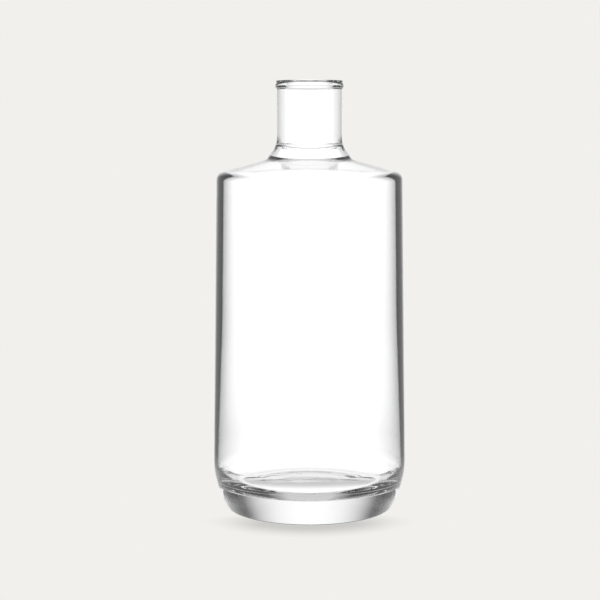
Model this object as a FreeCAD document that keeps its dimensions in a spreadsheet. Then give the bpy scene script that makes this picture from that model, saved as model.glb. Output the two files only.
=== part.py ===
# Round glass spirits bottle, empty and open: one blown and pressed piece of clear glass.
#
# The outside and the inside are two revolved profiles about the upright axis. A third,
# shallow one hollows the underside, so that the bottle stands on a narrow ring.
# Millimetres, +Z up, with the origin at the middle of the plane that the bottle stands on.

import FreeCAD
import Part

import math
import os

import Sketcher

# Every driving size: alias, value, what it measures.
DIMENSIONS = [
    ("overall_height", 177.5, "standing plane to the top of the lip"),
    ("body_diameter", 80.0, "widest point, where the heel begins"),
    ("shoulder_draw", 3.4, "how much narrower the body is at the shoulder corner"),
    ("shoulder_drop", 40.5, "top of the lip down to the start of the shoulder corner"),
    ("heel_height", 21.0, "standing plane to the top of the rounded heel"),
    ("heel_radius", 37.8, "long arc that draws the body in towards the foot"),
    ("foot_radius", 2.4, "small arc between the heel and the standing ring"),
    ("shoulder_corner_radius", 3.5, "outer corner between body and shoulder"),
    ("shoulder_slope", 15.7, "fall of the shoulder from the horizontal, degrees"),
    ("cone_diameter", 36.2, "where the shoulder's slope ends and turns up into the cone"),
    ("cone_angle", 35.2, "steep cone, degrees from the upright axis"),
    ("cone_edge_radius", 1.6, "rounding of that turn"),
    ("flare_radius", 10.3, "hollow arc from the cone into the neck"),
    ("neck_diameter", 26.7, "straight outside of the neck"),
    ("finish_height", 3.5, "lip and bead together, above the straight neck"),
    ("lip_diameter", 27.5, "thin flange on the very top"),
    ("lip_height", 0.9, "thickness of that flange"),
    ("lip_edge_radius", 0.35, "rounding of the flange"),
    ("bead_diameter", 28.0, "rounded bead under the flange"),
    ("bead_root_diameter", 26.9, "bottom of the fine groove between flange and bead"),
    ("bore_diameter", 20.0, "bore of the neck, for a stopper"),
    ("mouth_radius", 1.3, "rounding of the mouth's inner edge"),
    ("wall", 2.9, "glass on the upper side of the body"),
    ("wall_bend_height", 83.0, "standing plane to where the wall begins to thin, downwards"),
    ("wall_bend_radius", 800.0, "long arc that leads into the thinner wall"),
    ("low_wall_lean", 2.0, "inside of the thinner wall, degrees from upright"),
    ("shoulder_wall", 1.3, "glass on the shoulder, square to its slope"),
    ("inner_corner_radius", 1.2, "inside corner between body and shoulder"),
    ("cone_wall", 2.6, "glass on the steep cone"),
    ("hip_radius", 4.0, "inside turn from the shoulder into the cone"),
    ("throat_radius", 16.0, "inside turn from the cone into the bore"),
    ("floor_thickness", 13.6, "standing plane to the middle of the inside floor"),
    ("floor_dome_radius", 120.0, "gentle swell of the inside floor"),
    ("inner_heel_radius", 9.0, "inside corner between floor and wall"),
    ("push_up_height", 2.2, "depth of the hollow under the base"),
    ("standing_ring_width", 3.6, "flat ring that the bottle stands on, in from the foot's arc"),
]

NODE = "bottle"
OVERRUN = 2.0  # how far a hollow's profile reaches past the glass, so that it cuts clean
SAME_PLACE = 1e-4  # points nearer than this are one point


def make_sheet(document):
    """Writes the driving sizes to a spreadsheet, one row each, and gives every cell its alias."""
    sheet = document.addObject("Spreadsheet::Sheet", "dims")
    for row, (alias, value, meaning) in enumerate(DIMENSIONS, start=1):
        sheet.set(f"A{row}", alias)
        sheet.set(f"B{row}", str(value))
        sheet.set(f"C{row}", meaning)
        sheet.setAlias(f"B{row}", alias)
    document.recompute()
    return sheet


def at(across, height):
    """A point of a profile: how far from the axis, and how high above the standing plane."""
    return FreeCAD.Vector(across, height, 0)


def heading(degrees):
    """A unit step in the profile's plane, turned up from straight outwards."""
    turned = math.radians(degrees)
    return at(math.cos(turned), math.sin(turned))


def arc_about(centre, radius, start, end):
    """Start, middle and end of an arc, by the headings of its two ends from its centre."""
    return [centre + heading(a) * radius for a in (start, (start + end) / 2, end)]


class Profile:
    """A closed chain of lines and arcs on the body's upright plane, drawn end to end.

    Each piece is joined to the one before it, smoothly or at a corner, and its sizes are
    bound to the spreadsheet by name.
    """

    def __init__(self, body, name):
        self.sketch = body.newObject("Sketcher::SketchObject", name)
        upright = next(f for f in body.Origin.OriginFeatures if f.Role == "XZ_Plane")
        self.sketch.AttachmentSupport = [(upright, "")]
        self.sketch.MapMode = "FlatFace"
        self.ends = {}
        self.outside = 0

    def line(self, start, end):
        """Adds a straight piece and returns its number."""
        piece = self.sketch.addGeometry(Part.LineSegment(start, end), False)
        self.ends[piece] = (1, 2)
        return piece

    def arc(self, start, middle, end):
        """Adds an arc through three points and returns its number."""
        piece = self.sketch.addGeometry(Part.Arc(start, middle, end), False)
        # A sketch stores an arc that turns right the other way round, so its ends are looked up.
        kept_way_round = self.sketch.getPoint(piece, 1).distanceToPoint(start) < SAME_PLACE
        self.ends[piece] = (1, 2) if kept_way_round else (2, 1)
        return piece

    def join(self, first, second, kind="Tangent"):
        """Joins the end of one piece to the start of the next: Tangent, or Coincident at a corner."""
        joint = Sketcher.Constraint(kind, first, self.ends[first][1], second, self.ends[second][0])
        self.sketch.addConstraint(joint)

    def level(self, *pieces):
        """Keeps straight pieces horizontal."""
        for piece in pieces:
            self.sketch.addConstraint(Sketcher.Constraint("Horizontal", piece))

    def upright(self, *pieces):
        """Keeps straight pieces vertical."""
        for piece in pieces:
            self.sketch.addConstraint(Sketcher.Constraint("Vertical", piece))

    def on_axis(self, piece, point):
        """Keeps a piece's start (1), end (2) or centre (3) on the bottle's axis."""
        self.sketch.addConstraint(Sketcher.Constraint("PointOnObject", piece, point, -2))

    def bind(self, name, expression, kind, *references):
        """Adds a measured constraint and ties it to an expression on the spreadsheet."""
        number = self.sketch.addConstraint(Sketcher.Constraint(kind, *references))
        self.sketch.renameConstraint(number, name)
        self.sketch.setExpression(f"Constraints.{name}", expression)

    def radius(self, name, expression, piece, size):
        """Sets the radius of an arc."""
        self.bind(name, expression, "Radius", piece, size)

    def across(self, name, expression, piece, end, size):
        """Sets how far from the axis a piece starts (end 0) or ends (end 1)."""
        self.bind(name, expression, "DistanceX", -1, 1, piece, self.ends[piece][end], size)

    def height(self, name, expression, piece, end, size):
        """Sets how high above the standing plane a piece starts (end 0) or ends (end 1)."""
        self.bind(name, expression, "DistanceY", -1, 1, piece, self.ends[piece][end], size)

    def slope(self, name, expression, piece, degrees):
        """Sets the heading of a straight piece, in degrees up from straight outwards."""
        self.bind(name, expression, "Angle", piece, math.radians(degrees))

    def follow(self, name, expression, piece, other, middle, thickness):
        """Keeps a straight piece parallel to a line of another sketch, a wall's thickness inside it.

        The line is found by its middle point.
        """
        edges = other.Shape.Edges
        number = min(range(len(edges)), key=lambda i: edges[i].CenterOfMass.distanceToPoint(middle))
        self.sketch.addExternal(other.Name, f"Edge{number + 1}")
        self.outside += 1
        guide = -2 - self.outside
        self.sketch.addConstraint(Sketcher.Constraint("Parallel", piece, guide))
        self.bind(name, expression, "Distance", piece, self.ends[piece][0], guide, thickness)

    def inside_of(self, name, expression, piece, other, corner, gap):
        """Keeps a piece's start nearer the axis than a corner of another sketch, by a gap.

        The corner is found by its place.
        """
        corners = other.Shape.Vertexes
        number = min(
            range(len(corners)), key=lambda i: corners[i].Point.distanceToPoint(corner)
        )
        self.sketch.addExternal(other.Name, f"Vertex{number + 1}")
        self.outside += 1
        guide = -2 - self.outside
        self.bind(name, expression, "DistanceX", piece, self.ends[piece][0], guide, 1, gap)


class Outside:
    """Where the outer profile turns, worked out from the driving sizes."""

    def __init__(self, size):
        self.size = size
        self.side_foot = at(size["body_diameter"] / 2, size["heel_height"])
        self.side_head = at(
            (size["body_diameter"] - size["shoulder_draw"]) / 2,
            size["overall_height"] - size["shoulder_drop"],
        )
        side = self.side_head - self.side_foot
        self.taper = math.degrees(math.atan2(-side.x, side.y))
        self.heel_centre = self.side_foot - heading(self.taper) * size["heel_radius"]
        # The foot arc touches the standing plane and, from inside, the heel's arc.
        rise = self.heel_centre.y - size["foot_radius"]
        spread = size["heel_radius"] - size["foot_radius"]
        reach = self.heel_centre.x + math.sqrt(spread**2 - rise**2)
        self.foot_centre = at(reach, size["foot_radius"])
        outward = self.foot_centre - self.heel_centre
        self.foot_heading = math.degrees(math.atan2(outward.y, outward.x))
        self.shoulder_heading = 90 - size["shoulder_slope"]
        corner_radius = size["shoulder_corner_radius"]
        self.corner_centre = self.side_head - heading(self.taper) * corner_radius
        self.shoulder_foot = self.corner_centre + heading(self.shoulder_heading) * corner_radius
        run = self.shoulder_foot.x - size["cone_diameter"] / 2
        fall = math.tan(math.radians(size["shoulder_slope"]))
        self.shoulder_head = self.shoulder_foot + at(-run, run * fall)
        edge_radius = size["cone_edge_radius"]
        self.edge_centre = self.shoulder_head + heading(self.shoulder_heading) * edge_radius
        self.cone_foot = self.edge_centre - heading(size["cone_angle"]) * edge_radius
        # The flare's centre is level with its top, where it runs into the straight neck.
        flare_radius = size["flare_radius"]
        flare_across = size["neck_diameter"] / 2 + flare_radius
        cone_head_across = flare_across - heading(size["cone_angle"]).x * flare_radius
        run = self.cone_foot.x - cone_head_across
        rise = run / math.tan(math.radians(size["cone_angle"]))
        self.cone_head = self.cone_foot + at(-run, rise)
        self.flare_centre = self.cone_head + heading(size["cone_angle"]) * flare_radius

    def bead(self):
        """Start, middle and end of the bead's arc, from the neck to the groove under the lip."""
        size = self.size
        top = size["overall_height"] - size["lip_height"]
        bottom = size["overall_height"] - size["finish_height"]
        start = at(size["neck_diameter"] / 2, bottom)
        end = at(size["bead_root_diameter"] / 2, top)
        chord = end - start
        bulge = size["bead_diameter"] / 2 - (start.x + end.x) / 2
        middle = (start + end) / 2 + at(chord.y, -chord.x).normalize() * bulge
        return start, middle, end


def draw_outside(body, size, outside):
    """Draws the outer profile, from the middle of the base round to the lip and down the axis."""
    profile = Profile(body, "outside_profile")
    top = size["overall_height"]
    foot = arc_about(outside.foot_centre, size["foot_radius"], -90, outside.foot_heading)
    base = profile.line(at(0, 0), foot[0])
    foot = profile.arc(*foot)
    heel = profile.arc(
        *arc_about(outside.heel_centre, size["heel_radius"], outside.foot_heading, outside.taper)
    )
    side = profile.line(outside.side_foot, outside.side_head)
    corner = profile.arc(
        *arc_about(
            outside.corner_centre,
            size["shoulder_corner_radius"],
            outside.taper,
            outside.shoulder_heading,
        )
    )
    shoulder = profile.line(outside.shoulder_foot, outside.shoulder_head)
    edge = profile.arc(
        *arc_about(
            outside.edge_centre,
            size["cone_edge_radius"],
            outside.shoulder_heading + 180,
            size["cone_angle"] + 180,
        )
    )
    cone = profile.line(outside.cone_foot, outside.cone_head)
    flare = profile.arc(
        *arc_about(outside.flare_centre, size["flare_radius"], size["cone_angle"] + 180, 180)
    )
    bead_points = outside.bead()
    neck = profile.line(at(size["neck_diameter"] / 2, outside.flare_centre.y), bead_points[0])
    bead = profile.arc(*bead_points)
    round_off = size["lip_edge_radius"]
    lip_inset = size["lip_diameter"] / 2 - round_off
    lip_under = at(lip_inset, top - size["lip_height"])
    under = profile.line(bead_points[2], lip_under)
    lip_low = arc_about(lip_under + at(0, round_off), round_off, -90, 0)
    lip_high = arc_about(at(lip_inset, top - round_off), round_off, 0, 90)
    low = profile.arc(*lip_low)
    rim = profile.line(lip_low[2], lip_high[0])
    high = profile.arc(*lip_high)
    face = profile.line(lip_high[2], at(0, top))
    axis = profile.line(at(0, top), at(0, 0))

    chain = [base, foot, heel, side, corner, shoulder, edge, cone, flare, neck]
    for first, second in zip(chain, chain[1:]):
        profile.join(first, second)
    profile.join(neck, bead, "Coincident")
    profile.join(bead, under, "Coincident")
    for first, second in ((under, low), (low, rim), (rim, high), (high, face)):
        profile.join(first, second)
    profile.join(face, axis, "Coincident")
    profile.join(axis, base, "Coincident")
    profile.sketch.addConstraint(Sketcher.Constraint("Coincident", base, 1, -1, 1))
    profile.level(base, under, face)
    profile.upright(axis, neck, rim)

    profile.radius("foot_radius", "dims.foot_radius", foot, size["foot_radius"])
    profile.radius("heel_radius", "dims.heel_radius", heel, size["heel_radius"])
    profile.across("body_radius", "dims.body_diameter / 2", side, 0, outside.side_foot.x)
    profile.height("heel_height", "dims.heel_height", side, 0, outside.side_foot.y)
    shoulder_radius = "(dims.body_diameter - dims.shoulder_draw) / 2"
    profile.across("shoulder_radius", shoulder_radius, side, 1, outside.side_head.x)
    shoulder_height = "dims.overall_height - dims.shoulder_drop"
    profile.height("shoulder_height", shoulder_height, side, 1, outside.side_head.y)
    corner_radius = size["shoulder_corner_radius"]
    profile.radius("corner_radius", "dims.shoulder_corner_radius", corner, corner_radius)
    profile.slope(
        "shoulder_slope", "180 - dims.shoulder_slope", shoulder, 180 - size["shoulder_slope"]
    )
    profile.across("cone_radius", "dims.cone_diameter / 2", shoulder, 1, outside.shoulder_head.x)
    profile.radius("edge_radius", "dims.cone_edge_radius", edge, size["cone_edge_radius"])
    profile.slope("cone_slope", "90 + dims.cone_angle", cone, 90 + size["cone_angle"])
    profile.radius("flare_radius", "dims.flare_radius", flare, size["flare_radius"])
    profile.across("neck_radius", "dims.neck_diameter / 2", neck, 0, size["neck_diameter"] / 2)
    profile.height(
        "neck_top", "dims.overall_height - dims.finish_height", neck, 1, bead_points[0].y
    )
    # The bead's radius follows from its chord and from how far it stands out past the chord.
    chord = "sqrt((dims.finish_height - dims.lip_height) ^ 2"
    chord += " + ((dims.bead_root_diameter - dims.neck_diameter) / 2) ^ 2)"
    bulge = "(dims.bead_diameter / 2 - (dims.neck_diameter + dims.bead_root_diameter) / 4)"
    bead_radius = f"({chord} ^ 2 / 4 + {bulge} ^ 2) / (2 * {bulge})"
    profile.radius("bead_radius", bead_radius, bead, Part.Arc(*bead_points).toShape().Curve.Radius)
    profile.across("root_radius", "dims.bead_root_diameter / 2", bead, 1, bead_points[2].x)
    profile.height("lip_under", "dims.overall_height - dims.lip_height", bead, 1, bead_points[2].y)
    profile.radius("lip_low_edge", "dims.lip_edge_radius", low, round_off)
    profile.across("lip_radius", "dims.lip_diameter / 2", rim, 0, size["lip_diameter"] / 2)
    profile.radius("lip_high_edge", "dims.lip_edge_radius", high, round_off)
    profile.height("overall_height", "dims.overall_height", face, 1, top)
    return profile.sketch


def meeting(first, first_step, second, second_step):
    """The point where two lines meet, each given by a point on it and a step along it."""
    gap = second - first
    turn = first_step.x * second_step.y - first_step.y * second_step.x
    return first + first_step * ((gap.x * second_step.y - gap.y * second_step.x) / turn)


def corner_arc(before, corner, after, radius):
    """Start, middle and end of the arc that rounds the corner between two straight pieces."""
    to_before = (before - corner).normalize()
    to_after = (after - corner).normalize()
    half = to_before.getAngle(to_after) / 2
    reach = radius / math.tan(half)
    inward = (to_before + to_after).normalize()
    middle = corner + inward * (radius / math.sin(half) - radius)
    return corner + to_before * reach, middle, corner + to_after * reach


def draw_cavity(body, size, outside, outer):
    """Draws the inside: floor, wall, shoulder, cone and bore, a wall's thickness in from the outside.

    The wall keeps its thickness down from the shoulder, then thins towards the heel.
    """
    profile = Profile(body, "cavity_profile")
    top = size["overall_height"]
    bore = size["bore_diameter"] / 2
    side_step = heading(outside.taper + 90)
    shoulder_step = heading(outside.shoulder_heading + 90)
    cone_step = heading(size["cone_angle"] + 90)
    wall_line = outside.side_foot - heading(outside.taper) * size["wall"]
    shoulder_line = outside.shoulder_head - heading(outside.shoulder_heading) * size["shoulder_wall"]
    cone_line = outside.cone_head - heading(size["cone_angle"]) * size["cone_wall"]
    wall_top = meeting(wall_line, side_step, shoulder_line, shoulder_step)
    hip = meeting(shoulder_line, shoulder_step, cone_line, cone_step)
    throat = meeting(cone_line, cone_step, at(bore, 0), at(0, 1))
    mouth_bottom = at(bore, top - size["mouth_radius"])

    # The two straight runs of the wall would meet at the kink that the long arc rounds.
    low_step = heading(size["low_wall_lean"] + 90)
    bend_top = wall_line + side_step * ((size["wall_bend_height"] - wall_line.y) / side_step.y)
    half_turn = math.radians(size["low_wall_lean"] - outside.taper) / 2
    kink = bend_top - side_step * size["wall_bend_radius"] * math.tan(half_turn)

    # The inner heel touches the thinner wall and, from above, the swelling floor.
    floor_centre = at(0, size["floor_thickness"] - size["floor_dome_radius"])
    heel_radius = size["inner_heel_radius"]
    heel_line = kink - heading(size["low_wall_lean"]) * heel_radius
    along = (floor_centre - heel_line).dot(low_step)
    off = (floor_centre - heel_line - low_step * along).Length
    reach = math.sqrt((size["floor_dome_radius"] + heel_radius) ** 2 - off**2)
    heel_centre = heel_line + low_step * (along + reach)
    to_heel = (heel_centre - floor_centre).normalize()
    swell = math.degrees(math.atan2(to_heel.y, to_heel.x))

    floor = profile.arc(*arc_about(floor_centre, size["floor_dome_radius"], 90, swell))
    heel_points = arc_about(heel_centre, heel_radius, swell - 180, size["low_wall_lean"])
    heel = profile.arc(*heel_points)
    bend_points = corner_arc(heel_points[2], kink, wall_top, size["wall_bend_radius"])
    low_wall = profile.line(heel_points[2], bend_points[0])
    bend = profile.arc(*bend_points)
    corner_points = corner_arc(kink, wall_top, hip, size["inner_corner_radius"])
    wall = profile.line(bend_points[2], corner_points[0])
    corner = profile.arc(*corner_points)
    hip_points = corner_arc(wall_top, hip, throat, size["hip_radius"])
    shoulder = profile.line(corner_points[2], hip_points[0])
    hip_turn = profile.arc(*hip_points)
    throat_points = corner_arc(hip, throat, mouth_bottom, size["throat_radius"])
    cone = profile.line(hip_points[2], throat_points[0])
    throat_turn = profile.arc(*throat_points)
    bore_line = profile.line(throat_points[2], mouth_bottom)
    mouth_centre = mouth_bottom + at(size["mouth_radius"], 0)
    mouth_points = arc_about(mouth_centre, size["mouth_radius"], 180, 90)
    mouth = profile.arc(*mouth_points)
    over = at(0, OVERRUN)
    rise = profile.line(mouth_points[2], mouth_points[2] + over)
    lid = profile.line(mouth_points[2] + over, at(0, top) + over)
    axis = profile.line(at(0, top) + over, at(0, size["floor_thickness"]))

    chain = [floor, heel, low_wall, bend, wall, corner]
    chain += [shoulder, hip_turn, cone, throat_turn, bore_line, mouth]
    for first, second in zip(chain, chain[1:]):
        profile.join(first, second)
    for first, second in ((mouth, rise), (rise, lid), (lid, axis), (axis, floor)):
        profile.join(first, second, "Coincident")
    profile.on_axis(floor, profile.ends[floor][0])
    profile.on_axis(floor, 3)
    profile.upright(bore_line, rise, axis)
    profile.level(lid)

    profile.height("floor", "dims.floor_thickness", floor, 0, size["floor_thickness"])
    profile.radius("floor_dome", "dims.floor_dome_radius", floor, size["floor_dome_radius"])
    profile.radius("heel_radius", "dims.inner_heel_radius", heel, heel_radius)
    profile.slope(
        "low_wall_lean", "90 + dims.low_wall_lean", low_wall, 90 + size["low_wall_lean"]
    )
    profile.radius("bend_radius", "dims.wall_bend_radius", bend, size["wall_bend_radius"])
    profile.height("bend_height", "dims.wall_bend_height", bend, 1, bend_points[2].y)
    profile.radius("corner_radius", "dims.inner_corner_radius", corner, size["inner_corner_radius"])
    profile.radius("hip_radius", "dims.hip_radius", hip_turn, size["hip_radius"])
    profile.radius("throat_radius", "dims.throat_radius", throat_turn, size["throat_radius"])
    profile.across("bore_radius", "dims.bore_diameter / 2", bore_line, 0, bore)
    profile.height(
        "bore_top", "dims.overall_height - dims.mouth_radius", bore_line, 1, mouth_bottom.y
    )
    profile.radius("mouth_radius", "dims.mouth_radius", mouth, size["mouth_radius"])
    profile.across(
        "mouth_reach", "dims.bore_diameter / 2 + dims.mouth_radius", mouth, 1, mouth_centre.x
    )
    profile.height("lid_height", f"dims.overall_height + {OVERRUN}", lid, 0, top + OVERRUN)
    side_middle = (outside.side_foot + outside.side_head) / 2
    shoulder_middle = (outside.shoulder_foot + outside.shoulder_head) / 2
    cone_middle = (outside.cone_foot + outside.cone_head) / 2
    profile.follow("wall", "dims.wall", wall, outer, upright_place(side_middle), size["wall"])
    profile.follow(
        "shoulder_wall",
        "dims.shoulder_wall",
        shoulder,
        outer,
        upright_place(shoulder_middle),
        size["shoulder_wall"],
    )
    profile.follow(
        "cone_wall", "dims.cone_wall", cone, outer, upright_place(cone_middle), size["cone_wall"]
    )
    return profile.sketch


def upright_place(point):
    """Where a point of a profile lies in the bottle's own frame."""
    return FreeCAD.Vector(point.x, 0, point.y)


def draw_push_up(body, size, outside, outer):
    """Draws the shallow hollow under the base, inside the ring that the bottle stands on."""
    profile = Profile(body, "push_up_profile")
    height = size["push_up_height"]
    ring_edge = at(outside.foot_centre.x, 0)
    across = ring_edge.x - size["standing_ring_width"]
    radius = (across**2 + height**2) / (2 * height)
    centre = at(0, height - radius)
    edge = math.degrees(math.atan2(-centre.y, across))
    dome = profile.arc(*arc_about(centre, radius, 90, edge))
    drop = profile.line(at(across, 0), at(across, -OVERRUN))
    sole = profile.line(at(across, -OVERRUN), at(0, -OVERRUN))
    axis = profile.line(at(0, -OVERRUN), at(0, height))
    for first, second in ((dome, drop), (drop, sole), (sole, axis), (axis, dome)):
        profile.join(first, second, "Coincident")
    profile.on_axis(dome, profile.ends[dome][0])
    profile.on_axis(dome, 3)
    profile.upright(drop, axis)
    profile.level(sole)
    profile.height("push_up_height", "dims.push_up_height", dome, 0, height)
    profile.inside_of(
        "standing_ring_width",
        "dims.standing_ring_width",
        drop,
        outer,
        upright_place(ring_edge),
        size["standing_ring_width"],
    )
    profile.sketch.addConstraint(
        Sketcher.Constraint("PointOnObject", drop, profile.ends[drop][0], -1)
    )
    profile.bind("sole_drop", str(OVERRUN), "DistanceY", sole, 1, -1, 1, OVERRUN)
    return profile.sketch


def revolve(body, kind, name, sketch):
    """Turns a profile once round the axis, adding or cutting glass."""
    feature = body.newObject(f"PartDesign::{kind}", name)
    feature.Profile = sketch
    feature.ReferenceAxis = (sketch, ["V_Axis"])
    feature.Angle = 360
    return feature


def check_lighter(document, body, name, volume_before):
    """Makes sure that a cut took glass away, and returns the volume that is left."""
    document.recompute()
    volume = body.Shape.Volume
    if not volume < volume_before:
        raise RuntimeError(f"{name} cut nothing")
    return volume


def check_document(document):
    """Stops the build if any object failed, or if a sketch left something loose."""
    for thing in document.Objects:
        if "Invalid" in thing.State or "Error" in thing.State:
            raise RuntimeError(f"{thing.Label} failed: {thing.State}")
        if thing.TypeId == "Sketcher::SketchObject" and not thing.FullyConstrained:
            raise RuntimeError(f"{thing.Label} isn't fully constrained")


def main():
    """Builds the bottle and writes its shape."""
    document = FreeCAD.newDocument("glass_bottle")
    sheet = make_sheet(document)
    size = {alias: float(sheet.get(alias)) for alias, _, _ in DIMENSIONS}
    outside = Outside(size)

    body = document.addObject("PartDesign::Body", NODE)
    body.Label = NODE
    body.Placement = FreeCAD.Placement()
    outer = draw_outside(body, size, outside)
    document.recompute()
    revolve(body, "Revolution", "gather", outer)
    document.recompute()
    full = body.Shape.Volume

    cavity = draw_cavity(body, size, outside, outer)
    document.recompute()
    revolve(body, "Groove", "blown_cavity", cavity)
    hollowed = check_lighter(document, body, "The cavity", full)

    push_up = draw_push_up(body, size, outside, outer)
    document.recompute()
    base = revolve(body, "Groove", "push_up", push_up)
    glass = check_lighter(document, body, "The push-up", hollowed)

    body.Tip = base
    document.recompute()
    check_document(document)
    shape = body.Shape
    if shape.isNull() or not shape.isValid() or len(shape.Solids) != 1:
        raise RuntimeError(f"{body.Label} isn't one sound solid")
    os.makedirs("parts", exist_ok=True)
    shape.exportStep(f"parts/{body.Label}.step")
    box = shape.optimalBoundingBox(False)
    print(f"{body.Label}: {box.XLength:.1f} x {box.YLength:.1f} x {box.ZLength:.1f} mm")
    print(f"glass {glass / 1000:.1f} ml, holds {(full - hollowed) / 1000:.1f} ml to the brim")


main()
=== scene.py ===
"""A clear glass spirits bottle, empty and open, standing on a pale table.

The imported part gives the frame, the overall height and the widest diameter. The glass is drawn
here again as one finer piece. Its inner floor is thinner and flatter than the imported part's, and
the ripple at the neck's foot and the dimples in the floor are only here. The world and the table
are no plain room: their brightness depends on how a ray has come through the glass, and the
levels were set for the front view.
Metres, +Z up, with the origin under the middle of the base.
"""

import logging
import math
import random
from dataclasses import dataclass, field
from enum import Enum

import bpy
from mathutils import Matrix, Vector


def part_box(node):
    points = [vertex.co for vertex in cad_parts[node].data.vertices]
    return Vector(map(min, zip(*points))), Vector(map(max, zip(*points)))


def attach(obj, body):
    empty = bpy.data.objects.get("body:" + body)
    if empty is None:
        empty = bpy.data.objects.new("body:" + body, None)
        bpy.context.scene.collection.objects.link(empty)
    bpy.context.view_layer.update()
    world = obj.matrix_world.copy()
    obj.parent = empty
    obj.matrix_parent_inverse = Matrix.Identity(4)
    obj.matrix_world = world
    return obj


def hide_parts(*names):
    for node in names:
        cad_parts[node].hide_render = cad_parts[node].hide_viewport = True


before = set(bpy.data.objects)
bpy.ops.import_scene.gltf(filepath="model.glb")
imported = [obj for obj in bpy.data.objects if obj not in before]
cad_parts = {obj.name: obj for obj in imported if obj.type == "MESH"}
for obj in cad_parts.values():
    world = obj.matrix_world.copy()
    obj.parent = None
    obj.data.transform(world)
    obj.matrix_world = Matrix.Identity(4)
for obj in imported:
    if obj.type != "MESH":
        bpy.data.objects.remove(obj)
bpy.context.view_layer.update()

LOG = logging.getLogger("bottle")

MM = 0.001
FINE = 0.15 * MM
MEDIUM = 0.5 * MM
COARSE = 2.0 * MM
PIECE_SLACK = 0.01
DIRECTION_FLOOR = 1e-4
BODY = "root"


def heading(degrees: float) -> Vector:
    """Gives a unit step in the outline's plane.

    Args:
        degrees: How far the step turns up from straight outwards.

    Returns:
        The step, as across and up.
    """
    turned = math.radians(degrees)
    return Vector((math.cos(turned), math.sin(turned)))


def bearing(step: Vector) -> float:
    """Gives the heading of a step.

    Args:
        step: A step in the outline's plane.

    Returns:
        Degrees up from straight outwards.
    """
    return math.degrees(math.atan2(step.y, step.x))


def meeting(first: Vector, first_step: Vector, second: Vector, second_step: Vector) -> Vector:
    """Finds where two lines of the outline's plane meet.

    Args:
        first: A point on the first line.
        first_step: A step along the first line.
        second: A point on the second line.
        second_step: A step along the second line.

    Returns:
        The point that both lines pass through.
    """
    gap = second - first
    turn = first_step.x * second_step.y - first_step.y * second_step.x
    return first + first_step * ((gap.x * second_step.y - gap.y * second_step.x) / turn)


@dataclass(frozen=True)
class Run:
    """A straight stretch of the outline.

    Attributes:
        end: Where it ends.
        longest: The longest piece that it is drawn in.
    """

    end: Vector
    longest: float = COARSE


@dataclass(frozen=True)
class Bend:
    """A round stretch of the outline.

    Attributes:
        centre: The middle of its circle.
        turn: Degrees that it turns through, anticlockwise.
        longest: The longest piece that it is drawn in.
    """

    centre: Vector
    turn: float
    longest: float


def rounded(
    before: Vector, corner: Vector, after: Vector, radius: float, longest: float
) -> list[Run | Bend]:
    """Rounds the corner between two straight stretches.

    Args:
        before: A point on the first stretch.
        corner: Where the stretches would meet.
        after: A point on the second stretch.
        radius: The radius of the round.
        longest: The longest piece that the round is drawn in.

    Returns:
        The run up to the round, and the round.
    """
    back = (before - corner).normalized()
    on = (after - corner).normalized()
    half = back.angle(on) / 2
    start = corner + back * (radius / math.tan(half))
    centre = corner + (back + on).normalized() * (radius / math.sin(half))
    turn = 180 - 2 * math.degrees(half)
    if back.x * on.y - back.y * on.x > 0:
        turn = -turn
    return [Run(start), Bend(centre, turn, longest)]


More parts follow.
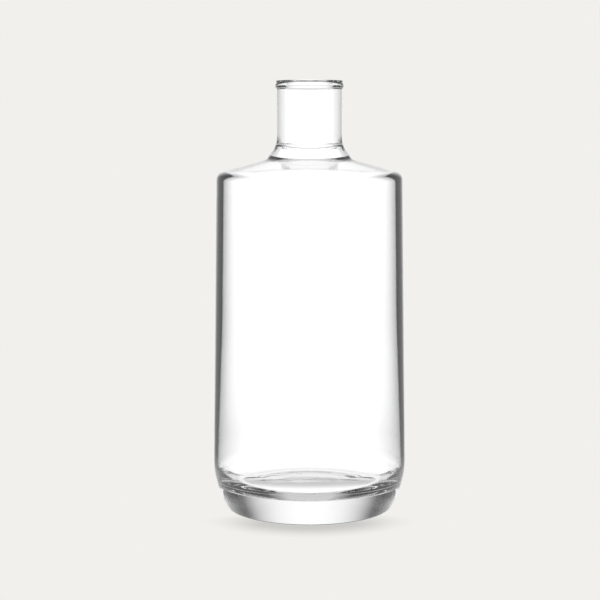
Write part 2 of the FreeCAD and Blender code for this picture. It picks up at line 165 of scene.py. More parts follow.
class Pen:
    """Draws an outline in the upright plane through the axis, one stroke after another."""

    def __init__(self, name: str, start: Vector) -> None:
        """Sets the pen down.

        Args:
            name: What the drawn object is called.
            start: Where the outline begins, as across and up.
        """
        bpy.ops.object.select_all(action="DESELECT")
        bpy.ops.mesh.primitive_plane_add(size=MM, location=(0, 0, 0))
        self.object = bpy.context.object
        self.object.name = name
        self.object.data.name = name
        bpy.ops.object.mode_set(mode="EDIT")
        bpy.ops.mesh.select_mode(type="VERT")
        bpy.ops.mesh.select_all(action="SELECT")
        bpy.ops.mesh.merge(type="CENTER")
        bpy.ops.transform.translate(value=(start.x, 0, start.y))
        self.place = start.copy()

    def run(self, stroke: Run) -> None:
        """Draws a straight stretch, in even pieces.

        Args:
            stroke: The stretch to draw.
        """
        way = stroke.end - self.place
        if way.length < MM / 1000:
            return
        pieces = max(1, math.ceil(way.length / stroke.longest - PIECE_SLACK))
        step = way / pieces
        for _ in range(pieces):
            bpy.ops.mesh.extrude_region_move(TRANSFORM_OT_translate={"value": (step.x, 0, step.y)})
        self.place = stroke.end.copy()

    def bend(self, stroke: Bend) -> None:
        """Draws a round stretch, in even pieces.

        Args:
            stroke: The stretch to draw.
        """
        arm = self.place - stroke.centre
        length = math.radians(abs(stroke.turn)) * arm.length
        pieces = max(2, math.ceil(length / stroke.longest))
        bpy.ops.mesh.spin(
            steps=pieces,
            angle=math.radians(abs(stroke.turn)),
            center=(stroke.centre.x, 0, stroke.centre.y),
            axis=(0, math.copysign(1, stroke.turn), 0),
        )
        self.place = stroke.centre + heading(bearing(arm) + stroke.turn) * arm.length

    def draw(self, strokes: list[Run | Bend]) -> None:
        """Draws strokes one after another.

        Args:
            strokes: The straight and round stretches, in order.
        """
        for stroke in strokes:
            if isinstance(stroke, Run):
                self.run(stroke)
            else:
                self.bend(stroke)

    def turn_round(self, facets: int, smooth_below: float) -> bpy.types.Object:
        """Turns the outline once round the upright axis and finishes its surface.

        Args:
            facets: Pieces that the full turn is made in.
            smooth_below: Edges that turn less than this many degrees are shaded smooth.

        Returns:
            The finished object.
        """
        bpy.ops.mesh.select_all(action="SELECT")
        bpy.ops.mesh.spin(steps=facets, angle=math.tau, center=(0, 0, 0), axis=(0, 0, 1))
        bpy.ops.mesh.select_all(action="SELECT")
        bpy.ops.mesh.remove_doubles(threshold=MM / 500)
        bpy.ops.mesh.normals_make_consistent(inside=False)
        bpy.ops.object.mode_set(mode="OBJECT")
        bpy.ops.object.shade_smooth_by_angle(angle=math.radians(smooth_below))
        return self.object


@dataclass
class GlassBottle:
    """The bottle: one piece of glass, drawn as a single closed outline turned round its axis.

    The height and the body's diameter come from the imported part. The other sizes repeat its sizes,
    apart from the floor's thickness and dome, which were changed here for the look and don't match
    it, and the ripple and dimple sizes, which it doesn't have.

    Attributes:
        overall_height: Standing plane to the top of the lip.
        body_diameter: Widest point, where the heel begins.
        shoulder_draw: How much narrower the body is at the shoulder.
        shoulder_drop: Top of the lip down to the shoulder's corner.
        heel_height: Standing plane to where the heel begins.
        heel_radius: Round of the heel.
        foot_radius: Round between the heel and the standing ring.
        shoulder_corner_radius: Outer round between the side and the shoulder.
        shoulder_slope: Degrees that the shoulder rises from level.
        cone_diameter: Outside of the cone where the shoulder reaches it.
        cone_angle: Degrees that the cone leans from upright.
        cone_edge_radius: Round between the shoulder and the cone.
        flare_radius: Hollow round between the cone and the neck.
        neck_diameter: Outside of the neck.
        finish_height: Top of the lip down to the foot of the bead.
        lip_diameter: Outside of the lip.
        lip_height: Thickness of the lip.
        lip_edge_radius: Rounds of the lip's edge.
        bead_diameter: Outside of the bead.
        bead_root_diameter: Outside between the bead and the lip.
        bore_diameter: Inside of the neck.
        mouth_radius: Round between the lip's top and the bore.
        wall: Thickness of the body's wall.
        wall_bend_height: Where the inner wall begins to lean in.
        wall_bend_radius: Round of the inner wall there.
        low_wall_lean: Degrees that the inner wall leans in below.
        shoulder_wall: Thickness of the shoulder.
        inner_corner_radius: Inner round between the wall and the shoulder.
        cone_wall: Thickness of the cone.
        hip_radius: Inner round between the shoulder and the cone.
        throat_radius: Inner round between the cone and the bore.
        ripple_height: Height of the ripple in the throat.
        ripple_width: How tall the ripple is.
        ripple_radius: Round of the ripple.
        floor_thickness: Thickness of the floor on the axis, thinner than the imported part's.
        floor_dome_radius: Swell of the inner floor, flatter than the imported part's.
        inner_heel_radius: Inner round between the wall and the floor.
        push_up_height: Height of the hollow under the base.
        standing_ring_width: Width of the flat ring that the bottle stands on.
        ripple_waves: Patches of the ripple that are moved, up and down in turn.
        ripple_wave: How far each is moved.
        wave_patch: How near to its middle a patch moves fully.
        wave_spread: How far the movement runs out.
        dimples: Patches of the inner floor that are moved.
        dimple_reach: How far from the axis they lie.
        dimple_depth: How far each is moved.
        dimple_patch: How near to its middle a dimple moves fully.
        dimple_spread: How far the movement runs out.
        seed: Start of the dimples' random places.
        facets: Pieces that a full turn is made in.
        smooth_below: Edges that turn less than this many degrees are shaded smooth.
        taper: Degrees that the side's outward face looks up or down.
        side_foot: Where the side begins.
        side_head: Where the side ends.
    """

    overall_height: float
    body_diameter: float
    shoulder_draw: float = 3.4 * MM
    shoulder_drop: float = 40.5 * MM
    heel_height: float = 21.0 * MM
    heel_radius: float = 37.8 * MM
    foot_radius: float = 2.4 * MM
    shoulder_corner_radius: float = 3.5 * MM
    shoulder_slope: float = 15.7
    cone_diameter: float = 36.2 * MM
    cone_angle: float = 35.2
    cone_edge_radius: float = 1.6 * MM
    flare_radius: float = 10.3 * MM
    neck_diameter: float = 26.7 * MM
    finish_height: float = 3.5 * MM
    lip_diameter: float = 27.5 * MM
    lip_height: float = 0.9 * MM
    lip_edge_radius: float = 0.35 * MM
    bead_diameter: float = 28.0 * MM
    bead_root_diameter: float = 26.9 * MM
    bore_diameter: float = 20.0 * MM
    mouth_radius: float = 1.3 * MM
    wall: float = 2.9 * MM
    wall_bend_height: float = 83.0 * MM
    wall_bend_radius: float = 800.0 * MM
    low_wall_lean: float = 2.0
    shoulder_wall: float = 1.3 * MM
    inner_corner_radius: float = 1.2 * MM
    cone_wall: float = 2.6 * MM
    hip_radius: float = 4.0 * MM
    throat_radius: float = 16.0 * MM
    ripple_height: float = 150.6 * MM
    ripple_width: float = 2.0 * MM
    ripple_radius: float = 1.1 * MM
    floor_thickness: float = 11.7 * MM
    floor_dome_radius: float = 400.0 * MM
    inner_heel_radius: float = 9.0 * MM
    push_up_height: float = 2.2 * MM
    standing_ring_width: float = 3.6 * MM
    ripple_waves: int = 6
    ripple_wave: float = 0.3 * MM
    wave_patch: float = 1.5 * MM
    wave_spread: float = 5.0 * MM
    dimples: int = 14
    dimple_reach: float = 24.0 * MM
    dimple_depth: float = 0.08 * MM
    dimple_patch: float = 2.0 * MM
    dimple_spread: float = 3.0 * MM
    seed: int = 7
    facets: int = 192
    smooth_below: float = 28.0
    taper: float = field(init=False)
    side_foot: Vector = field(init=False)
    side_head: Vector = field(init=False)

    def __post_init__(self) -> None:
        """Works out the side of the body, which both outlines hang on."""
        self.side_foot = Vector((self.body_diameter / 2, self.heel_height))
        head_across = (self.body_diameter - self.shoulder_draw) / 2
        self.side_head = Vector((head_across, self.overall_height - self.shoulder_drop))
        self.taper = bearing(self.side_head - self.side_foot) - 90

    @property
    def shoulder_heading(self) -> float:
        """Heading of the shoulder's outward face."""
        return 90 - self.shoulder_slope

    @property
    def shoulder_foot(self) -> Vector:
        """Where the shoulder's slope leaves the outer corner."""
        turn = heading(self.shoulder_heading) - heading(self.taper)
        return self.side_head + turn * self.shoulder_corner_radius

    @property
    def shoulder_head(self) -> Vector:
        """Where the shoulder's slope reaches the cone."""
        run = self.shoulder_foot.x - self.cone_diameter / 2
        return self.shoulder_foot + Vector((-run, run * math.tan(math.radians(self.shoulder_slope))))

    @property
    def cone_foot(self) -> Vector:
        """Where the cone's straight side begins."""
        turn = heading(self.shoulder_heading) - heading(self.cone_angle)
        return self.shoulder_head + turn * self.cone_edge_radius

    @property
    def cone_head(self) -> Vector:
        """Where the cone's straight side runs into the flare."""
        across = self.neck_diameter / 2 + self.flare_radius
        across -= heading(self.cone_angle).x * self.flare_radius
        run = self.cone_foot.x - across
        return self.cone_foot + Vector((-run, run / math.tan(math.radians(self.cone_angle))))

    def underside(self) -> list[Run | Bend]:
        """Draws the hollow under the base, the standing ring, the foot and the heel.

        Returns:
            The strokes, outwards from the axis.
        """
        heel_centre = self.side_foot - heading(self.taper) * self.heel_radius
        spread = self.heel_radius - self.foot_radius
        rise = heel_centre.y - self.foot_radius
        foot_centre = Vector((heel_centre.x + math.sqrt(spread**2 - rise**2), self.foot_radius))
        foot_heading = bearing(foot_centre - heel_centre)
        ring = foot_centre.x - self.standing_ring_width
        radius = (ring**2 + self.push_up_height**2) / (2 * self.push_up_height)
        dome_centre = Vector((0, self.push_up_height - radius))
        dome_turn = bearing(Vector((ring, 0)) - dome_centre) - 90
        return [
            Bend(dome_centre, dome_turn, COARSE),
            Run(Vector((foot_centre.x, 0)), MEDIUM),
            Bend(foot_centre, foot_heading + 90, FINE),
            Bend(heel_centre, self.taper - foot_heading, MEDIUM),
        ]

    def outside(self) -> list[Run | Bend]:
        """Draws the body's side, the shoulder, the cone and the neck, up to the bead.

        Returns:
            The strokes, upwards.
        """
        corner_centre = self.side_head - heading(self.taper) * self.shoulder_corner_radius
        edge_centre = self.shoulder_head + heading(self.shoulder_heading) * self.cone_edge_radius
        flare_centre = self.cone_head + heading(self.cone_angle) * self.flare_radius
        neck_top = Vector((self.neck_diameter / 2, self.overall_height - self.finish_height))
        return [
            Run(self.side_head),
            Bend(corner_centre, self.shoulder_heading - self.taper, FINE),
            Run(self.shoulder_head),
            Bend(edge_centre, self.cone_angle - self.shoulder_heading, FINE),
            Run(self.cone_head, MEDIUM),
            Bend(flare_centre, -self.cone_angle, MEDIUM),
            Run(neck_top),
        ]

    def finish(self) -> list[Run | Bend]:
        """Draws the bead, the thin flange of the lip and the round of the mouth.

        Returns:
            The strokes, from the neck up over the lip to the bore.
        """
        top = self.overall_height
        under = top - self.lip_height
        bead_foot = Vector((self.neck_diameter / 2, top - self.finish_height))
        bead_head = Vector((self.bead_root_diameter / 2, under))
        chord = bead_head - bead_foot
        bulge = self.bead_diameter / 2 - (bead_foot.x + bead_head.x) / 2
        radius = (chord.length**2 / 4 + bulge**2) / (2 * bulge)
        outward = Vector((chord.y, -chord.x)).normalized()
        bead_centre = (bead_foot + bead_head) / 2 + outward * (bulge - radius)
        bead_turn = 2 * math.degrees(math.asin(chord.length / (2 * radius)))
        if bulge > radius:
            bead_turn = 360 - bead_turn
        rim = self.lip_diameter / 2 - self.lip_edge_radius
        bore = self.bore_diameter / 2
        round_centre = Vector((bore + self.mouth_radius, top - self.mouth_radius))
        edge = self.lip_edge_radius
        finest = FINE / 2
        return [
            Bend(bead_centre, bead_turn, FINE),
            Run(Vector((rim, under)), finest),
            Bend(Vector((rim, under + edge)), 90, finest),
            Run(Vector((rim + edge, top - edge)), FINE),
            Bend(Vector((rim, top - edge)), 90, finest),
            Run(Vector((round_centre.x, top)), MEDIUM),
            Bend(round_centre, 90, FINE),
        ]

    def inside(self) -> list[Run | Bend]:
        """Draws the inside, from the bore down the wall to the middle of the floor.

        Returns:
            The strokes, downwards.
        """
        bore = Vector((self.bore_diameter / 2, self.overall_height - self.mouth_radius))
        side_step = heading(self.taper + 90)
        shoulder_step = heading(self.shoulder_heading + 90)
        cone_step = heading(self.cone_angle + 90)
        low_step = heading(self.low_wall_lean + 90)
        wall_line = self.side_foot - heading(self.taper) * self.wall
        shoulder_line = self.shoulder_head - heading(self.shoulder_heading) * self.shoulder_wall
        cone_line = self.cone_head - heading(self.cone_angle) * self.cone_wall
        throat = meeting(cone_line, cone_step, bore, Vector((0, 1)))
        hip = meeting(shoulder_line, shoulder_step, cone_line, cone_step)
        corner = meeting(wall_line, side_step, shoulder_line, shoulder_step)
        bend_top = wall_line + side_step * ((self.wall_bend_height - wall_line.y) / side_step.y)
        half_turn = math.radians(self.low_wall_lean - self.taper) / 2
        kink = bend_top - side_step * self.wall_bend_radius * math.tan(half_turn)

        # The heel's arc touches the wall and the swelling floor.
        floor_centre = Vector((0, self.floor_thickness - self.floor_dome_radius))
        heel_line = kink - heading(self.low_wall_lean) * self.inner_heel_radius
        along = (floor_centre - heel_line).dot(low_step)
        off = (floor_centre - heel_line - low_step * along).length
        reach = math.sqrt((self.floor_dome_radius + self.inner_heel_radius) ** 2 - off**2)
        heel_centre = heel_line + low_step * (along + reach)
        swell = bearing(heel_centre - floor_centre)
        heel_top = heel_centre + heading(self.low_wall_lean) * self.inner_heel_radius
        bore_foot, throat_round = rounded(bore, throat, hip, self.throat_radius, MEDIUM)
        return [
            bore_foot,
            *self.rippled(throat_round),
            *rounded(throat, hip, corner, self.hip_radius, FINE * 2),
            *rounded(hip, corner, kink, self.inner_corner_radius, FINE),
            *rounded(corner, kink, heel_top, self.wall_bend_radius, COARSE),
            Run(heel_top),
            Bend(heel_centre, swell - 180 - self.low_wall_lean, MEDIUM),
            Bend(floor_centre, 90 - swell, MEDIUM),
        ]

    def rippled(self, throat: Bend) -> list[Bend]:
        """Sets a small ripple into the throat, as a stand-in for uneven glass.

        Args:
            throat: The round between the bore and the cone.

        Returns:
            The throat above the ripple, the ripple and the throat below it.
        """
        inward = 180.0
        drop = math.degrees(math.asin((throat.centre.y - self.ripple_height) / self.throat_radius))
        half = math.degrees(math.asin(self.ripple_width / 2 / self.throat_radius))
        arm = math.cos(math.radians(half)) * self.throat_radius - math.sqrt(
            self.ripple_radius**2 - (self.ripple_width / 2) ** 2
        )
        centre = throat.centre + heading(inward + drop) * arm
        turn = 2 * math.degrees(math.asin(self.ripple_width / 2 / self.ripple_radius))
        return [
            Bend(throat.centre, drop - half, throat.longest),
            Bend(centre, turn, FINE),
            Bend(throat.centre, throat.turn - drop - half, throat.longest),
        ]

    def nudge(
        self,
        bottle: bpy.types.Object,
        places: list[Vector],
        reach: float,
        rise: float,
        spread: float,
    ) -> None:
        """Lifts or lowers soft patches of the inner surface, alternately.

        Args:
            bottle: The bottle, in object mode.
            places: Middles of the patches.
            reach: Vertices this near to a middle are moved fully.
            rise: How far a patch moves.
            spread: How far the movement runs out.
        """
        vertices = bottle.data.vertices
        for order, place in enumerate(places):
            bpy.ops.object.mode_set(mode="EDIT")
            bpy.ops.mesh.select_all(action="DESELECT")
            bpy.ops.object.mode_set(mode="OBJECT")
            for vertex in vertices:
                vertex.select = (vertex.co - place).length < reach
            bpy.ops.object.mode_set(mode="EDIT")
            bpy.ops.transform.translate(
                value=(0, 0, rise if order % 2 else -rise),
                use_proportional_edit=True,
                use_proportional_connected=True,
                proportional_edit_falloff="SMOOTH",
                proportional_size=spread,
            )
            bpy.ops.object.mode_set(mode="OBJECT")

    def build(self, name: str) -> bpy.types.Object:
        """Draws the whole outline and turns it into the bottle.

        Args:
            name: What the piece is called.

        Returns:
            The bottle, in place.
        """
        pen = Pen(name, Vector((0, self.push_up_height)))
        pen.draw(self.underside())
        pen.draw(self.outside())
        pen.draw(self.finish())
        pen.draw(self.inside())
        bottle = pen.turn_round(self.facets, self.smooth_below)
        around = [
            math.tau * (step + 0.5) / self.ripple_waves for step in range(self.ripple_waves)
        ]
        ring = self.bore_diameter / 2 + self.ripple_width / 2
        crests = [
            Vector((ring * math.cos(turn), ring * math.sin(turn), self.ripple_height)) for turn in around
        ]
        self.nudge(bottle, crests, self.wave_patch, self.ripple_wave, self.wave_spread)
        chance = random.Random(self.seed)
        dimples = []
        for _ in range(self.dimples):
            turn = chance.uniform(0, math.tau)
            out = self.dimple_reach * math.sqrt(chance.random())
            dimples.append(Vector((out * math.cos(turn), out * math.sin(turn), self.floor_thickness)))
        self.nudge(bottle, dimples, self.dimple_patch, self.dimple_depth, self.dimple_spread)
        return bottle


class Nodes:
    """A node tree that is filled by short calls."""

    def __init__(self, tree: bpy.types.NodeTree) -> None:
        """Empties the tree.

        Args:
            tree: The tree of a material or a world.
        """
        self.tree = tree
        tree.nodes.clear()

    def add(self, kind: str, **settings: object) -> bpy.types.Node:
        """Adds a node.

        Args:
            kind: The node's type, without its ShaderNode prefix.
            settings: Properties to set on it.

        Returns:
            The node.
        """
        node = self.tree.nodes.new("ShaderNode" + kind)
        for name, value in settings.items():
            setattr(node, name, value)
        return node

    def feed(self, socket: bpy.types.NodeSocket, value: object) -> None:
        """Links a socket to another, or sets its value.

        Args:
            socket: The input to fill.
            value: An output to link, or a plain value.
        """
        if isinstance(value, bpy.types.NodeSocket):
            self.tree.links.new(value, socket)
        else:
            socket.default_value = value

    def maths(self, operation: str, *values: object) -> bpy.types.NodeSocket:
        """Adds a Math node.

        Args:
            operation: What it does.
            values: Its inputs, as outputs to link or plain numbers.

        Returns:
            Its result.
        """
        node = self.add("Math", operation=operation)
        for socket, value in zip(node.inputs, values):
            self.feed(socket, value)
        return node.outputs[0]

    def blend(self, share: bpy.types.NodeSocket, low: object, high: object) -> bpy.types.NodeSocket:
        """Mixes two numbers.

        Args:
            share: How much of the second is taken.
            low: The value at no share.
            high: The value at full share.

        Returns:
            The mixed number.
        """
        node = self.add("Mix", data_type="FLOAT")
        self.feed(node.inputs[0], share)
        self.feed(node.inputs[2], low)
        self.feed(node.inputs[3], high)
        return node.outputs[0]

    def spread(
        self, value: object, start: float, end: float, first: float, last: float
    ) -> bpy.types.NodeSocket:
        """Maps one range of numbers onto another, and holds its ends.

        Args:
            value: The number to map.
            start: Where the range begins.
            end: Where the range ends.
            first: The result at its beginning.
            last: The result at its end.

        Returns:
            The mapped number.
        """
        node = self.add("MapRange")
        for socket, number in zip(node.inputs, (value, start, end, first, last)):
            self.feed(socket, number)
        return node.outputs[0]

    def blend_colours(
        self, share: bpy.types.NodeSocket, low: tuple, high: tuple
    ) -> bpy.types.NodeSocket:
        """Mixes two colours.

        Args:
            share: How much of the second is taken.
            low: The colour at no share.
            high: The colour at full share.

        Returns:
            The mixed colour.
        """
        node = self.add("Mix", data_type="RGBA")
        self.feed(node.inputs[0], share)
        self.feed(node.inputs["A"], low)
        self.feed(node.inputs["B"], high)
        return node.outputs["Result"]

    def ramp(
        self, value: bpy.types.NodeSocket, stops: list[tuple[float, float]]
    ) -> bpy.types.NodeSocket:
        """Looks a number up in a grey ramp.

        Args:
            value: The number, from 0 to 1.
            stops: Places on the ramp and the level at each.

        Returns:
            The level.
        """
        node = self.add("ValToRGB")
        self.feed(node.inputs[0], value)
        elements = node.color_ramp.elements
        elements.remove(elements[-1])
        elements[0].position = stops[0][0]
        elements[0].color = (*[stops[0][1]] * 3, 1)
        for place, level in stops[1:]:
            elements.new(place).color = (*[level] * 3, 1)
        return node.outputs["Color"]


@dataclass(frozen=True)
class FlintGlass:
    """Clear flint glass, fire-polished inside and out."""

    name: str = "clear_flint_glass"
    refraction: float = 1.52
    roughness: float = 0.0

    def make(self) -> bpy.types.Material:
        """Makes the material.

        Returns:
            The glass.
        """
        material = bpy.data.materials.new(self.name)
        material.use_nodes = True
        nodes = Nodes(material.node_tree)
        glass = nodes.add("BsdfPrincipled")
        nodes.feed(glass.inputs["Base Color"], (1, 1, 1, 1))
        nodes.feed(glass.inputs["Transmission Weight"], 1.0)
        nodes.feed(glass.inputs["Roughness"], self.roughness)
        nodes.feed(glass.inputs["IOR"], self.refraction)
        output = nodes.add("OutputMaterial")
        nodes.feed(output.inputs["Surface"], glass.outputs[0])
        return material


class Seen(Enum):
    """How a ray has come to what it now sees, judged from its count of crossings and reflections."""

    OUTSIDE = "off the outside of the glass"
    HOLLOW = "straight through the hollow bottle"
    SOLID = "straight through solid glass"
    TURNED = "turned back inside solid glass"
    MIRRORED = "turned back many times inside solid glass"
    FOLDED = "turned back between the walls of the hollow bottle"


@dataclass(frozen=True)
class Studio:
    """A pale table and a world, with levels set for each way that a ray has come.

    There are no lamps and no real panels. The eye sees one plain background. A ray that has crossed
    or bounced off the glass sees a level that depends on its count of crossings and reflections, on
    its direction and, on the table, on the place. The levels were chosen from the front, so other
    views show greys that a real room wouldn't give.

    Attributes:
        paper: Colour of the table and the background.
        clear: Colour of the light seen through the glass.
        panels: Level of the light by how squarely a direction faces front, back or a side, as if
            a panel hung there, for each way that it is seen.
        heights: Level of the light by degrees above level, for each way that it is seen.
        strength: Strength of the light that comes straight through the glass.
        high: Upward part of a direction above which the hollow bottle shows no panels.
        side_share: Share of the turned light that depends on how far sideways it comes.
        painted_shade_under_glass: Sideways shares between which the painted shade on the table under the
            glass
        deepens, with both levels; it shows only in light turned back inside solid glass.
        beside_glass: Radii between which the table falls to its far level in turned light.
        far_turned: Level of the far table in turned light.
        far_folded: Level of the table in light folded between the walls.
        under_floor: Radii between which the shaded table under the bottle's floor clears.
        floor_front: Places from back to front between which that shade lightens, with both levels.
        open_table: Distances between which the table takes up the panels' pattern.
        table_size: Side of the table.
        shadow_reach: How near to the bottle the drawn shadow begins.
        shadow_depth: Level of the table where that shadow is deepest.
        shadow_span: Openness of a place between which the shadow fades.
        shadow_front: How much in front of the bottle a place must be to have the drawn shadow.
        camera_place: Where the camera stands.
        camera_dip: Degrees that it looks down.
        lens: Its focal length.
        shift: Its sideways shift, which frames the bottle a little right of the middle.
        near_clip: The nearest that it sees.
        bounces: The most bounces of a ray in all.
        mirror_bounces: The most reflections of a ray.
        glass_bounces: The most crossings of glass by a ray.
        once: Crossings or reflections above which a ray has had one.
        solid_crossings: Crossings above which a ray has been through the hollow bottle.
        many_turns: Reflections above which a ray has been turned back many times.
        shadow_samples: Rays with which the openness of a place is measured.
    """

    paper: tuple = (0.880, 0.871, 0.839, 1)
    clear: tuple = (0.995, 0.995, 1.0, 1)
    panels: dict = field(
        default_factory=lambda: {
            Seen.OUTSIDE: ((0.707, 0.45), (0.85, 0.45), (0.94, 0.8), (0.985, 1.0), (1.0, 1.0)),
            Seen.HOLLOW: (
                (0.707, 0.35), (0.875, 0.45), (0.94, 0.65), (0.965, 0.82), (0.985, 0.97), (1.0, 1.0)
            ),
            Seen.SOLID: (
                (0.0, 0.2), (0.3, 0.1), (0.55, 0.02), (0.76, 0.02), (0.81, 0.06),
                (0.85, 0.2), (0.905, 0.46), (0.965, 0.72), (1.0, 0.84),
            ),
        }
    )
    heights: dict = field(
        default_factory=lambda: {
            Seen.TURNED: ((-90, 0.04), (-1.2, 0.04), (-0.5, 1.0), (90, 1.0)),
            Seen.HOLLOW: ((-90, 1.0), (14, 1.0), (22, 0.5), (30, 0.15), (90, 0.15)),
            Seen.MIRRORED: ((-90, 0.06), (18, 0.06), (28, 0.85), (90, 0.85)),
            Seen.FOLDED: ((-90, 0.9), (11, 0.95), (14, 0.5), (22, 0.5), (26, 0.85), (90, 0.9)),
        }
    )
    strength: float = 1.25
    side_share: float = 0.2
    high: float = -0.012
    painted_shade_under_glass: tuple = (0.30, 0.60, 0.6, 0.05)
    beside_glass: tuple = (0.040, 0.060)
    far_turned: float = 0.04
    far_folded: float = 0.9
    under_floor: tuple = (0.026, 0.040)
    floor_front: tuple = (-0.006, -0.018, 0.5, 0.95)
    open_table: tuple = (0.05, 0.2)
    table_size: float = 6.0
    shadow_reach: float = 0.016
    shadow_depth: float = 0.68
    shadow_span: tuple = (0.5, 0.97)
    shadow_front: tuple = (0.45, 0.85)
    camera_place: tuple = (0, -0.638, 0.160)
    camera_dip: float = 6.51
    lens: float = 92.74
    shift: float = -0.01575
    near_clip: float = 0.01
    bounces: int = 24
    mirror_bounces: int = 8
    glass_bounces: int = 16
    once: float = 0.5
    solid_crossings: float = 3.5
    many_turns: float = 2.5
    shadow_samples: int = 8

    def light(
        self, nodes: Nodes, facing: tuple, hollow: object, turned: object, folded: object
    ) -> tuple:
        """Chooses the strength of the light by how a ray has come.

        Args:
            nodes: The tree to fill.
            facing: How squarely the place seen lies before any panel, and before the front and
                back ones.
            hollow: Level for light straight through the hollow bottle.
            turned: Level for light turned back inside solid glass.
            folded: Level for light turned back between the walls.

        Returns:
            The strength, whether the ray has come through the glass, and whether it is straight
            from the eye.
        """
        path = nodes.add("LightPath")
        depth = path.outputs["Transmission Depth"]
        through = nodes.maths("GREATER_THAN", depth, self.once)
        reflected = nodes.maths("GREATER_THAN", path.outputs["Glossy Depth"], self.once)
        solid = nodes.maths("LESS_THAN", depth, self.solid_crossings)
        solid_light = nodes.ramp(facing[1], self.panels[Seen.SOLID])
        straight = nodes.maths("MULTIPLY", self.strength, nodes.blend(solid, hollow, solid_light))
        inner = nodes.blend(reflected, straight, nodes.blend(solid, folded, turned))
        around = nodes.blend(through, nodes.ramp(facing[0], self.panels[Seen.OUTSIDE]), inner)
        seen = path.outputs["Is Camera Ray"]
        return nodes.blend(seen, around, 1.0), through, seen

    def squareness(self, nodes: Nodes, split: bpy.types.Node) -> tuple:
        """Measures how squarely a direction lies before one of the four panels.

        Args:
            nodes: The tree to fill.
            split: A node that gives the direction's parts.

        Returns:
            Two numbers that are one straight before a panel: for all four panels, and for the front
            and back ones alone.
        """
        across = nodes.maths("ABSOLUTE", split.outputs["X"])
        along = nodes.maths("ABSOLUTE", split.outputs["Y"])
        squared = [nodes.maths("MULTIPLY", part, part) for part in (across, along)]
        squares = nodes.maths("ADD", *squared)
        level_part = nodes.maths("MAXIMUM", nodes.maths("SQRT", squares), DIRECTION_FLOOR)
        any_panel = nodes.maths("DIVIDE", nodes.maths("MAXIMUM", across, along), level_part)
        return any_panel, nodes.maths("DIVIDE", along, level_part)

    def height_ramp(self, nodes: Nodes, rise: bpy.types.NodeSocket, seen: Seen) -> bpy.types.NodeSocket:
        """Looks up a level by height above the horizon.

        Args:
            nodes: The tree to fill.
            rise: The upward part of the direction.
            seen: Which way of seeing it is for.

        Returns:
            The level.
        """
        stops = [
            ((math.sin(math.radians(degrees)) + 1) / 2, level)
            for degrees, level in self.heights[seen]
        ]
        return nodes.ramp(nodes.maths("MULTIPLY_ADD", rise, 0.5, 0.5), stops)

    def hang_world(self) -> None:
        """Makes the world, with its levels for each way that a ray has come."""
        world = bpy.data.worlds.new("studio")
        bpy.context.scene.world = world
        world.use_nodes = True
        nodes = Nodes(world.node_tree)
        ray = nodes.add("SeparateXYZ")
        nodes.feed(ray.inputs[0], nodes.add("TexCoord").outputs["Generated"])
        sideways = nodes.maths("ABSOLUTE", ray.outputs["X"])
        softened = nodes.maths("MULTIPLY_ADD", sideways, self.side_share, 1 - self.side_share)
        turned = nodes.maths("MULTIPLY", softened, self.height_ramp(nodes, ray.outputs["Z"], Seen.TURNED))
        folded = self.height_ramp(nodes, ray.outputs["Z"], Seen.FOLDED)
        facing = self.squareness(nodes, ray)
        above = nodes.maths("GREATER_THAN", ray.outputs["Z"], self.high)
        high = self.height_ramp(nodes, ray.outputs["Z"], Seen.HOLLOW)
        hollow = nodes.blend(above, nodes.ramp(facing[0], self.panels[Seen.HOLLOW]), high)
        reflections = nodes.add("LightPath").outputs["Glossy Depth"]
        many = nodes.maths("GREATER_THAN", reflections, self.many_turns)
        turned = nodes.blend(many, turned, self.height_ramp(nodes, ray.outputs["Z"], Seen.MIRRORED))
        strength, _, seen = self.light(nodes, facing, hollow, turned, folded)
        background = nodes.add("Background")
        nodes.feed(background.inputs["Color"], nodes.blend_colours(seen, self.clear, self.paper))
        nodes.feed(background.inputs["Strength"], strength)
        nodes.feed(nodes.add("OutputWorld").inputs["Surface"], background.outputs[0])

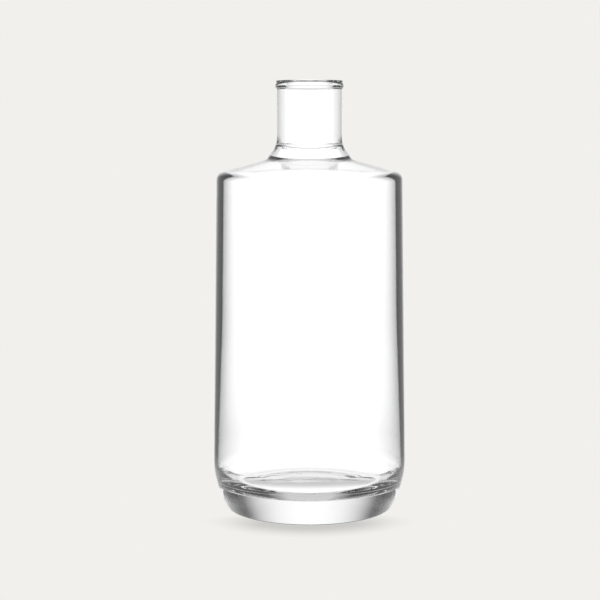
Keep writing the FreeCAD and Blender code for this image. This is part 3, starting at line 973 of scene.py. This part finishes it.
    def lay_table(self) -> None:
        """Lays the pale table and draws a soft shadow on it by nearness, in front only; nothing casts it."""
        bpy.ops.object.select_all(action="DESELECT")
        bpy.ops.mesh.primitive_plane_add(size=self.table_size, location=(0, 0, 0))
        table = bpy.context.object
        table.name = "table"
        material = bpy.data.materials.new("pale_table")
        material.use_nodes = True
        nodes = Nodes(material.node_tree)
        place = nodes.add("TexCoord").outputs["Object"]
        split = nodes.add("SeparateXYZ")
        nodes.feed(split.inputs[0], place)
        reach = nodes.add("VectorMath", operation="LENGTH")
        nodes.feed(reach.inputs[0], place)
        distance = reach.outputs["Value"]
        sideways = nodes.maths("DIVIDE", nodes.maths("ABSOLUTE", split.outputs["X"]), distance)
        # Painted shade on the table under the glass, darker at its sides; seen only in light turned back
        # inside solid glass.
        under = nodes.spread(sideways, *self.painted_shade_under_glass)
        turned = nodes.blend(nodes.spread(distance, *self.beside_glass, 0.0, 1.0), under, self.far_turned)
        opened = nodes.spread(distance, *self.open_table, 0.0, 1.0)
        facing = [nodes.blend(opened, 1.0, measure) for measure in self.squareness(nodes, split)]
        shaded_floor = nodes.spread(split.outputs["Y"], *self.floor_front)
        clearing = nodes.blend(nodes.spread(distance, *self.under_floor, 0.0, 1.0), shaded_floor, 1.0)
        hollow = nodes.maths("MULTIPLY", clearing, nodes.ramp(facing[0], self.panels[Seen.HOLLOW]))
        strength, through, seen = self.light(nodes, facing, hollow, turned, self.far_folded)
        closeness = nodes.add("AmbientOcclusion", samples=self.shadow_samples)
        nodes.feed(closeness.inputs["Distance"], self.shadow_reach)
        shade = nodes.spread(closeness.outputs["AO"], *self.shadow_span, self.shadow_depth, 1.0)
        frontness = nodes.maths("DIVIDE", nodes.maths("MULTIPLY", split.outputs["Y"], -1.0), distance)
        front = nodes.spread(frontness, *self.shadow_front, 0.0, 1.0)
        shaded = nodes.blend(through, nodes.blend(front, 1.0, shade), 1.0)
        glow = nodes.add("Emission")
        nodes.feed(glow.inputs["Color"], nodes.blend_colours(seen, self.clear, self.paper))
        nodes.feed(glow.inputs["Strength"], nodes.maths("MULTIPLY", strength, shaded))
        nodes.feed(nodes.add("OutputMaterial").inputs["Surface"], glow.outputs[0])
        table.data.materials.append(material)

    def place_camera(self) -> None:
        """Sets up the camera and lets rays cross the glass as often as they need to."""
        camera = bpy.data.cameras.new("camera")
        camera.lens = self.lens
        camera.shift_x = self.shift
        camera.clip_start = self.near_clip
        stand = bpy.data.objects.new("camera", camera)
        stand.location = self.camera_place
        stand.rotation_euler = (math.radians(90 - self.camera_dip), 0, 0)
        scene = bpy.context.scene
        scene.collection.objects.link(stand)
        scene.camera = stand
        scene.view_settings.view_transform = "Standard"
        scene.cycles.max_bounces = self.bounces
        scene.cycles.glossy_bounces = self.mirror_bounces
        scene.cycles.transmission_bounces = self.glass_bounces


def main() -> None:
    """Builds the bottle and what stands round it, and reports each piece."""
    logging.basicConfig(level=logging.INFO, format="%(name)s: %(message)s")
    low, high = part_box("bottle")
    studio = Studio()
    studio.place_camera()
    studio.hang_world()
    studio.lay_table()
    LOG.info("studio is set")

    shape = GlassBottle(overall_height=high.z - low.z, body_diameter=high.x - low.x)
    bottle = shape.build("glass_bottle")
    bottle.data.materials.append(FlintGlass().make())
    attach(bottle, BODY)
    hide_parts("bottle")
    LOG.info("%s has %d faces", bottle.name, len(bottle.data.polygons))


if __name__ == "__main__":
    main()
